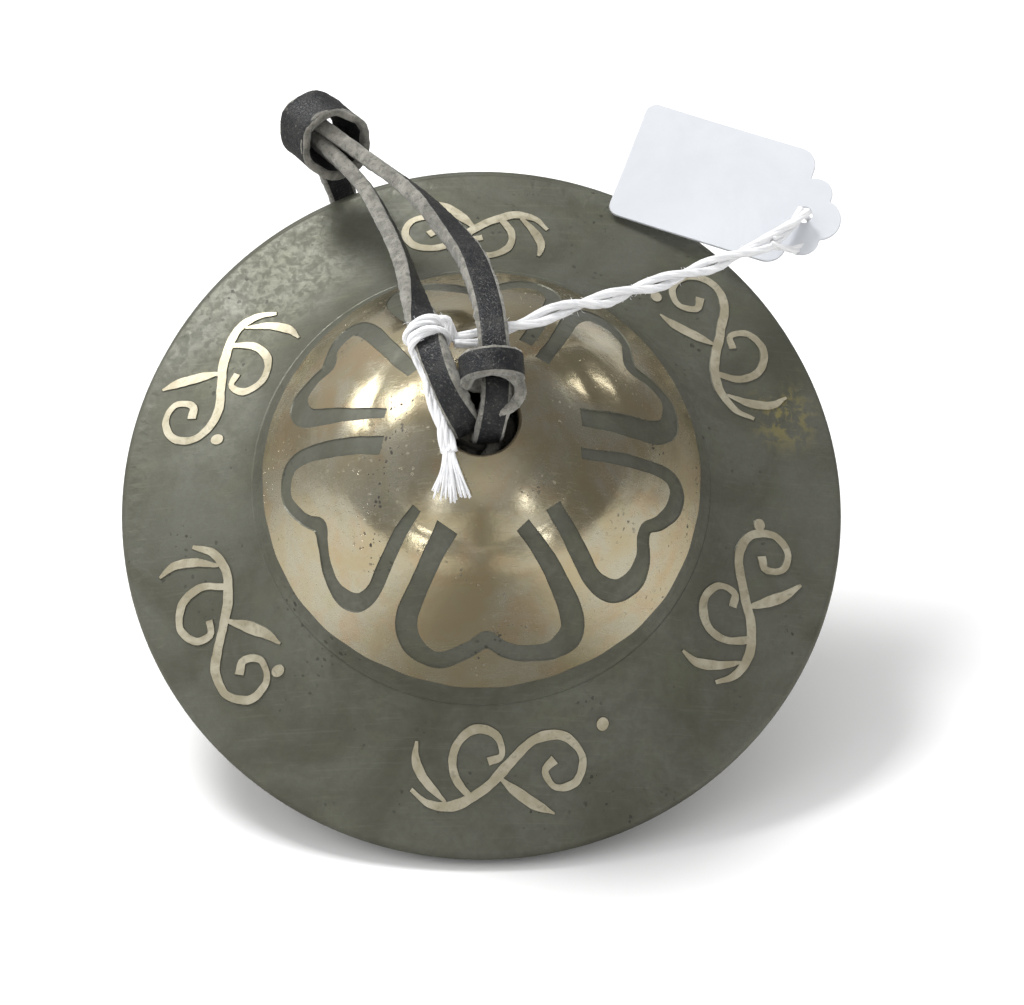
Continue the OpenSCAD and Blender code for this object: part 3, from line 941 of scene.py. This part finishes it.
def make_runs():
    """The thong's two runs, each one strap from the upper knot to the lower one."""
    for letter, route, sides, seed in (("a", RUN_A, SIDE_A, 11), ("b", RUN_B, SIDE_B, 23)):
        piece = strap("thong_run_" + letter, [(route, sides)], seed=seed)
        path = pair(along(route, 1.0))
        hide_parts("upper_run_" + letter, "lower_run_" + letter)
        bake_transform(piece)


ARCH = [
    (-1.5, 1.0, 31.6), (-0.9, 1.7, 32.3), (0.7, 2.0, 33.0), (2.4, 1.8, 32.7),
    (3.5, 1.1, 31.9), (3.7, 0.2, 31.1), (3.0, -0.7, 30.4), (1.9, -1.1, 29.8),
]
NECK = [
    (1.5, 1.9, 31.2), (1.5, 0.4, 31.2), (1.3, -1.1, 30.6), (0.9, -2.3, 29.0),
    (0.6, -2.6, 27.0), (0.4, -1.6, 23.6),
]
NECK_DROP = (1, 1, 0.8, 0.3, 0, 0)
# The lower knot lies a little off the upper one's mirror image.
COLLAR_AT = {"upper": (0.95, 2.45, 31.9), "lower": (0, 6.4, -32)}
ARCH_SHIFT = {"upper": (0, 0, 0), "lower": (-0.9, 3.2, 0.4)}
NECK_SHIFT = {"upper": (0, 0, 0), "lower": (-0.9, 3.0, 0.4)}
STOPPER_ENDS = [
    ([(1.5, 0.5, 0), (3, 1.4, -1.2), (4.4, 1.6, -3.4)], (0, 1, 0.2)),
    ([(-1.2, -0.8, 0), (-2.6, -2, -1.4), (-3.6, -2.9, -3.6)], (0.6, -0.7, 0.2)),
]


def make_knots():
    """Both outer knots: a collar wound round the strap, an arched loop and the neck in the hole."""
    for side, seat, flip, seed in (("upper", upper, 1, 40), ("lower", lower, -1, 60)):
        way = np.array([1, 1, flip])
        turns = np.linspace(200, 610, 60)
        radius = 2.5 + 0.25 * np.clip((turns - 480) / 90, 0, 1) + waver(turns / 40, seed, 0.09)
        winding = about(COLLAR_AT[side], np.array([-0.06, 1.0, 0.0]) * way, radius, turns,
                        0.92, 0.3, (0, 0, flip))
        collar = strap(side + "_knot_collar_wrap", [winding], 2.9, 1.1, seed, 0.35, 0.035)

        arch = np.array(ARCH) * way + ARCH_SHIFT[side]
        sides = [(0, -0.31, 0.95 * flip)] * len(ARCH)
        loop = strap(side + "_knot_arch", [(arch, sides)], 2.3, 1.1, seed + 1, 0.3, 0.06)

        routes = []
        for back, x in ((0.0, 0.0), (1.35, 0.25)):
            route = np.array(NECK) * way + [x, back, 0] + np.outer(NECK_DROP, NECK_SHIFT[side])
            routes.append((route, [(-1, -0.08, 0)] * len(route)))
        neck = strap(side + "_neck_straps", routes, 2.9, 1.15, seed + 2, 0.4)

        t = np.linspace(0, 2 * math.pi, 90)
        knot = np.stack([np.sin(t) + 2 * np.sin(2 * t), np.cos(t) - 2 * np.cos(2 * t),
                         -1.4 * np.sin(3 * t)], 1) * 0.93
        centre = seat((0, 0, 22.6))
        routes = [(knot * way + centre, np.tile([0.0, 0.0, 1.0], (len(t), 1)))]
        routes += [(centre + np.array(ends) * way, [facing] * 3) for ends, facing in STOPPER_ENDS]
        stopper = strap(side + "_stopper_wrap", routes, 2.4, 1.25, seed + 5, 0.45)
        for piece, node in ((collar, "_knot_collar"), (loop, "_knot_loop"),
                            (neck, "_neck"), (stopper, "_stopper_knot")):
            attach(piece, "thong_" + side)
            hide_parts(side + node)


SLIDER_AT = np.array((-16.5, 37, 9.8))
SLIDER_AXIS = unit((0.574, -0.699, 0.426))


def make_slider():
    """The sliding wrap: one strip rolled twice round both runs."""
    facing = unit(np.array((0, -0.308, 0.951)) - 0.62 * SLIDER_AXIS)
    inner = np.linspace(35, 412, 60)
    radius = 2.72 + waver(inner / 50, 5, 0.05)
    points, sides = about(SLIDER_AT, SLIDER_AXIS, radius, inner, slant=0.36, toward=facing)
    inward = points - SLIDER_AT
    sides = -sides + 0.3 * unit(inward - (inward @ SLIDER_AXIS)[:, None] * SLIDER_AXIS)
    core = strap("slider_inner_roll", [(points, sides)], 4.3, 0.8, 81, 0.35, 0.03)
    outer = np.linspace(-50, 322, 70)
    radius = 3.28 + 0.07 * np.cos(np.radians(outer) * 6) + waver(outer / 60, 6, 0.07)
    points, sides = about(SLIDER_AT, SLIDER_AXIS, radius, outer, slant=0.36, toward=facing)
    skin = strap("slider_outer_roll", [(points, sides)], 4.8, 0.85, 82, 0.35, 0.04)
    for piece, node in ((core, "slider_inner_wrap"), (skin, "slider_outer_wrap")):
        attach(piece, "slider")
        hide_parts(node)


# ---------------------------------------------------------------- string
STRING = [
    (-2.7, 6.4, 29), (-0.6, 6.9, 28.6), (1.8, 8.1, 27.6), (4.7, 9.3, 26.6),
    (7.7, 11.2, 25), (11.8, 13.8, 21), (17.1, 17.4, 16), (22.6, 21.1, 11.4),
    (26.5, 23.7, 8.6), (29.9, 25.8, 7), (32.5, 28, 6.3), (34.3, 30.1, 5.9),
]
TIE_AT = np.array((-5.2, 6.6, 29.6))
TIE_AXIS = unit((0.24, -0.84, 0.48))
YARNS = 4
FIBRE = 0.022


def twisted(line, lay_radius, ply_radius, pitch, start=0.0):
    """Two plies laid round each other, each of fine yarns. Everything is in millimetres."""
    step = np.linalg.norm(np.diff(line, axis=0), axis=1)
    far = np.concatenate([[0], np.cumsum(step)])
    heading, side = carried(line, (0, 0, 1))
    other = np.cross(heading, side)
    skins = []
    for ply in (0, math.pi):
        angle = (far / pitch * 2 * math.pi + start + ply)[:, None]
        middle = line + lay_radius * (np.cos(angle) * side + np.sin(angle) * other)
        for yarn in range(YARNS):
            own = (far / (pitch * 0.75) * 2 * math.pi + yarn * 2 * math.pi / YARNS)[:, None]
            offset = 0.42 * ply_radius * (np.cos(own) * side + np.sin(own) * other)
            loose = waver(far * 1.3, int(yarn + 10 * ply), 0.02)
            skins.append(tube_skin(middle + offset, ply_radius * 0.62 + loose, 7))
    return joined(skins)


def fuzz(line, reach, count, seed):
    """Short loose fibres that stand off a string."""
    rng = np.random.default_rng(seed)
    heading, side = carried(line, (0, 0, 1))
    other = np.cross(heading, side)
    skins = []
    for i in rng.integers(1, len(line) - 1, count):
        a = rng.uniform(0, 2 * math.pi)
        out = math.cos(a) * side[i] + math.sin(a) * other[i]
        lean = heading[i] * rng.uniform(-1, 1)
        root = line[i] + out * reach * 0.7
        tip = root + out * rng.uniform(0.2, 0.5) + lean * rng.uniform(0.3, 0.9)
        bend = (root + tip) / 2 + out * 0.12
        skins.append(tube_skin(along([root, bend, tip], 0.3), FIBRE, 4))
    return joined(skins)


def cotton_piece(name, parts):
    points, faces = joined(parts)
    return make_mesh(name, pair(points), faces, [COTTON])


def make_string():
    """The ticket's string, its double tie on the thong, its frayed tails and its end loop."""
    line = along(STRING, 0.28)
    string = cotton_piece("ticket_string", [
        twisted(line, 0.48, 0.44, 17.0, start=0.9),
        fuzz(line, 0.8, 90, 3),
    ])

    turns = np.linspace(-60, 760, 150)
    drift = np.interp(turns, [-60, 300, 400, 760], [0.85, 0.75, -0.75, -0.85])
    points, _ = about(TIE_AT, TIE_AXIS, 1.86, turns, 0.8)
    points = points + drift[:, None] * TIE_AXIS
    lead = along([points[-1], points[-1] + [0.9, 0.1, -0.5], np.array(STRING[0])], 0.3)
    tie = cotton_piece("ticket_string_tie", [
        twisted(along(points, 0.3), 0.26, 0.31, 11.0),
        twisted(lead, 0.36, 0.4, 11.0),
        fuzz(along(points, 0.3), 0.6, 40, 5),
    ])

    tails = []
    starts = [((-6.9, 6.3, 29.3), 0.0), ((-6.4, 6.0, 29.8), 0.5)]
    for start, shift in starts:
        route = [start, (-5.6 + shift, 3.4, 29.2), (-4.8 + shift, 0.6, 29.1),
                 (-4.0 + shift, -2.2, 29.0), (-3.3 + shift, -4.8, 28.6)]
        tails.append(twisted(along(route, 0.28), 0.26, 0.34, 9.0, start=shift))
    rng = np.random.default_rng(12)
    for i in range(26):
        spread_x = -1 + 2 * i / 25 + rng.uniform(-0.12, 0.12)
        foot = (-3.1 + 0.35 * spread_x, -4.5, 28.6 + rng.uniform(-0.25, 0.25))
        bend = (-2.9 + 0.9 * spread_x, -6.6, 28.25 + rng.uniform(-0.1, 0.35))
        tip = (-2.7 + 1.9 * spread_x, -8.1 - rng.uniform(0, 1.2) - 0.3 * (1 - abs(spread_x)),
               27.4 + rng.uniform(-0.1, 0.4))
        route = along([foot, bend, tip], 0.35)
        thin = np.linspace(0.17, 0.09, len(route))
        tails.append(tube_skin(route, thin, 5))
    tail = cotton_piece("ticket_string_tails", tails)

    loop = [(30.6, 26.3, 6.9), (32.2, 27.6, 6.2), (33.5, 28.9, 5.5), (34.2, 29.9, 4.7),
            (34.9, 29.9, 3.7), (35.4, 28.6, 3.5), (34.7, 27.2, 3.9), (33.2, 26.0, 4.9),
            (31.6, 25.7, 6.1), (30.4, 25.7, 6.9)]
    eye = cotton_piece("ticket_string_eye", [twisted(along(loop, 0.28), 0.2, 0.28, 9.0)])
    for piece in (string, tie, tail, eye):
        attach(piece, "thong_upper")
    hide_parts("tag_string")
    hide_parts("string_tie")
    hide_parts("string_tails")
    path = pair(along(STRING, 1.0))


# ---------------------------------------------------------------- ticket
CARD_LENGTH, CARD_WIDTH, CARD_LIFT, CARD_THICK = 19.4, 13.8, 0.4, 0.35
CARD_FRONT, CARD_CORNER, CARD_SHOULDER = -0.6, 1.2, 2
CARD_HOLE, HOLE_POINTS, EDGE_POINTS = 0.9, 40, 420
SCALLOPS = [(0.4, 2.7, 1.8), (1.6, 0, 2.4), (0.6, -2.7, 1.9)]


def in_card(x, y):
    """Whether a point is on the card: a round-cornered slip with a scalloped head."""
    w = CARD_WIDTH / 2
    back = CARD_FRONT - CARD_LENGTH
    up = np.abs(y - CARD_LIFT)
    slip = (x > back) & (x < CARD_FRONT) & (up < w)
    for inside, r in ((x - back, CARD_CORNER), (CARD_FRONT - x, CARD_SHOULDER)):
        slip &= ~((inside < r) & (up > w - r) & (np.hypot(inside - r, up - w + r) > r))
    head = (x > -0.9) & (x < 0.6) & (np.abs(y) < 2.6)
    for middle_x, middle_y, r in SCALLOPS:
        head |= np.hypot(x - middle_x, y - middle_y) < r
    return slip | head


def bands(base, count):
    """Faces of three closed bands between four loops of points."""
    faces = []
    for a in range(base, base + 3 * count, count):
        for k in range(count):
            m = (k + 1) % count
            faces.append((a + m, a + k, a + count + k, a + count + m))
    return faces


def make_ticket():
    """The card: a die-cut slip with soft edges, a very slight curl, and its hole."""
    angle = np.linspace(0, 2 * math.pi, EDGE_POINTS, endpoint=False)
    reach = np.linspace(0.5, 17, 3300)
    x = -5 + reach[None] * np.cos(angle)[:, None]
    y = reach[None] * np.sin(angle)[:, None]
    far = reach[np.argmin(in_card(x, y), axis=1)]
    edge = np.stack([-5 + far * np.cos(angle), far * np.sin(angle)], 1)
    tangent = unit(np.roll(edge, -2, axis=0) - np.roll(edge, 2, axis=0))
    outward = np.stack([tangent[:, 1], -tangent[:, 0]], 1)
    hole = ring(CARD_HOLE, HOLE_POINTS)
    rim_out = edge - outward * 0.07
    rim_in = hole * 1.07 / 0.98
    grid = np.stack(np.meshgrid(np.arange(-19.5, 4, 0.8), np.arange(-6, 7.1, 0.8)), -1).reshape(-1, 2)
    keep = within(grid, rim_out, 0) & (np.linalg.norm(grid, axis=1) > 1.4)
    gap = np.linalg.norm(grid[:, None] - rim_out[None], axis=2).min(1)
    grid = grid[keep & (gap > 0.35)]
    edges = [(k, (k + 1) % EDGE_POINTS) for k in range(EDGE_POINTS)]
    edges += [(EDGE_POINTS + k, EDGE_POINTS + (k + 1) % HOLE_POINTS) for k in range(HOLE_POINTS)]
    sheet, faces = filled(np.vstack([rim_out, rim_in, grid]), edges, 1, 1e-6)
    middle = sheet[faces].mean(1)
    faces = faces[np.linalg.norm(middle, axis=1) > 0.95]
    faces = faces[within(sheet[faces].mean(1), rim_out, 0)]
    flip = face_areas(sheet, faces) < 0
    faces[flip] = faces[flip][:, ::-1]

    def curl(p):
        return 0.12 * np.sin(p[:, 0] * 0.16 + 0.5) + 0.0035 * p[:, 1] ** 2 - 0.05

    half = CARD_THICK / 2
    n = len(sheet)
    parts = [
        np.column_stack([sheet, curl(sheet) + half]),
        np.column_stack([sheet, curl(sheet) - half]),
        np.column_stack([rim_out, curl(rim_out) + half]),
        np.column_stack([edge, curl(edge) + half * 0.5]),
        np.column_stack([edge, curl(edge) - half * 0.5]),
        np.column_stack([rim_out, curl(rim_out) - half]),
        np.column_stack([rim_in, curl(rim_in) + half]),
        np.column_stack([hole, curl(hole) + half * 0.5]),
        np.column_stack([hole, curl(hole) - half * 0.5]),
        np.column_stack([rim_in, curl(rim_in) - half]),
    ]
    all_faces = [tuple(f) for f in faces] + [tuple(n + f[::-1]) for f in faces]
    all_faces += [face[::-1] for face in bands(2 * n, EDGE_POINTS)]
    all_faces += bands(2 * n + 4 * EDGE_POINTS, HOLE_POINTS)
    points = np.vstack(parts)
    tilt = Matrix.Rotation(math.radians(-20.5), 3, "Z") @ Matrix.Rotation(math.radians(-4), 3, "Y")
    points = points @ np.array(tilt).T + [34.3, 30.1, 4.45]
    ticket = make_mesh("ticket_card", pair(points), all_faces, [CARD])
    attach(ticket, "ticket")
    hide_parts("tag_card")


def make_cymbals():
    """Both cymbals, each brought from its own axes to its place in the pair."""
    for side, seat, flip, seed in (("upper", upper, 1, 3), ("lower", lower, -1, 8)):
        piece = make_cymbal("bronze_cymbal_" + side, seed, [POLISHED, PATINA, INSIDE, STROKES])
        axes = Matrix((ACROSS, flip * UPHILL, flip * OUT)).transposed().to_4x4()
        place = Vector(pair(seat((0, 0, 0))).tolist())
        piece.data.transform(Matrix.Translation(place) @ axes)
        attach(piece, "cymbal_" + side)
        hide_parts(side + "_cymbal")


# ---------------------------------------------------------------- surroundings
def make_floor():
    """A pale, very slightly clouded table top. In reflections it shows painted light: a painted shadow
    along the middle and far off, and brighter painted pools of light to the sides, near the pair and in
    front of it.
    """
    size = 3.0
    steps = np.linspace(-size, size, 25)
    grid = np.stack(np.meshgrid(steps, steps), -1).reshape(-1, 2)
    points = np.column_stack([grid, np.zeros(len(grid))])
    faces = [(r * 25 + c, r * 25 + c + 1, (r + 1) * 25 + c + 1, (r + 1) * 25 + c)
             for r in range(24) for c in range(24)]
    m, tree, shader, where = new_finish("pale_table")
    cloud = placed(tree, BLOTCHES, where, Scale=0.01, From=0.3, To=0.7)
    color = mixed(tree, cloud, (0.93, 0.93, 0.93), (0.95, 0.95, 0.95))
    place = put(tree, "SeparateXYZ", Vector=where)
    # Painted light for glossy rays only: a painted shadow along the middle, and painted pools of light
    # to the sides, near the pair and in front.
    aside = spread(tree, math_node(tree, "ABSOLUTE", place.outputs[0]), 10.0, 62.0)
    front = spread(tree, place.outputs[1], -40.0, 50.0, 1.0, 0.2)
    far = put(tree, "VectorMath", {"operation": "LENGTH"}, at_0=where).outputs["Value"]
    near = spread(tree, far, 180.0, 600.0, 1.0, 0.2)
    glow = math_node(tree, "MULTIPLY", math_node(tree, "MULTIPLY", aside, near), front)
    painted_reflection = mixed(tree, glow, (0.19, 0.185, 0.17), (0.56, 0.55, 0.52))
    seen = put(tree, "LightPath").outputs["Is Glossy Ray"]
    color = mixed(tree, seen, color, painted_reflection)
    feed(tree, shader, Base_Color=color, Roughness=0.9, Specular_IOR_Level=0.0)
    floor = make_mesh("table", points, faces, [m])


def soft_light(name, towards, distance, size, power):
    """A soft box that hangs in the direction towards, and points at the pair."""
    data = bpy.data.lights.new(name, "AREA")
    data.shape = "RECTANGLE"
    data.size, data.size_y = size
    data.energy = power
    lamp = bpy.data.objects.new(name, data)
    way = Vector(unit(towards))
    lamp.location = MIDDLE + distance * way
    lamp.rotation_euler = (-way).to_track_quat("-Z", "Y").to_euler()
    bpy.context.scene.collection.objects.link(lamp)
    return lamp


def make_light():
    soft_light("key", (-0.38, 0.22, 0.90), 1.0, (0.32, 0.32), 7.2)
    soft_light("left_fill", (-0.7, -0.35, 0.62), 1.0, (0.8, 0.5), 1.9).visible_glossy = False
    for name, towards, size, power in (
        ("left_window", (-0.76, 0.22, 0.60), (0.26, 0.3), 1.0),
        ("right_window", (0.742, 0.514, 0.432), (0.05, 0.16), 0.1),
        ("left_lamp", (-0.52, -0.85, 0.06), (0.06, 0.08), 0.14),
        ("right_lamp", (0.52, -0.85, 0.06), (0.06, 0.08), 0.14),
    ):
        soft_light(name, towards, 0.85, size, power).visible_diffuse = False
    world = bpy.data.worlds.new("pale_room")
    bpy.context.scene.world = world
    world.use_nodes = True
    tree = world.node_tree
    tree.nodes["Background"].inputs["Strength"].default_value = 1.0
    way = put(tree, "VectorMath", {"operation": "NORMALIZE"},
              at_0=tree.nodes.new("ShaderNodeTexCoord").outputs["Generated"]).outputs[0]
    glow = 0.17
    for towards, sharp, amount in (((-0.9, 0.25, 0.3), 3.0, 0.26), ((-0.35, 0.88, 0.3), 6.0, 0.36),
                                   ((0.0, -0.93, 0.37), 8.0, 0.36)):
        lean = put(tree, "VectorMath", {"operation": "DOT_PRODUCT"}, at_0=way, at_1=unit(towards))
        lean = math_node(tree, "MAXIMUM", lean.outputs["Value"], 0.0)
        lean = math_node(tree, "MULTIPLY", math_node(tree, "POWER", lean, sharp), amount)
        glow = math_node(tree, "ADD", lean, glow)
    tint = put(tree, "CombineXYZ", X=glow, Y=math_node(tree, "MULTIPLY", glow, 0.99),
               Z=math_node(tree, "MULTIPLY", glow, 0.95)).outputs[0]
    seen = put(tree, "LightPath").outputs["Is Glossy Ray"]
    color = mixed(tree, seen, (0.80, 0.80, 0.80), tint)
    tree.links.new(color, tree.nodes["Background"].inputs["Color"])
    scene = bpy.context.scene
    scene.view_settings.view_transform = "Standard"
    scene.view_settings.look = "None"


make_runs()
make_string()
make_cymbals()
make_knots()
make_slider()
make_ticket()
make_floor()
make_light()

bpy.context.view_layer.update()
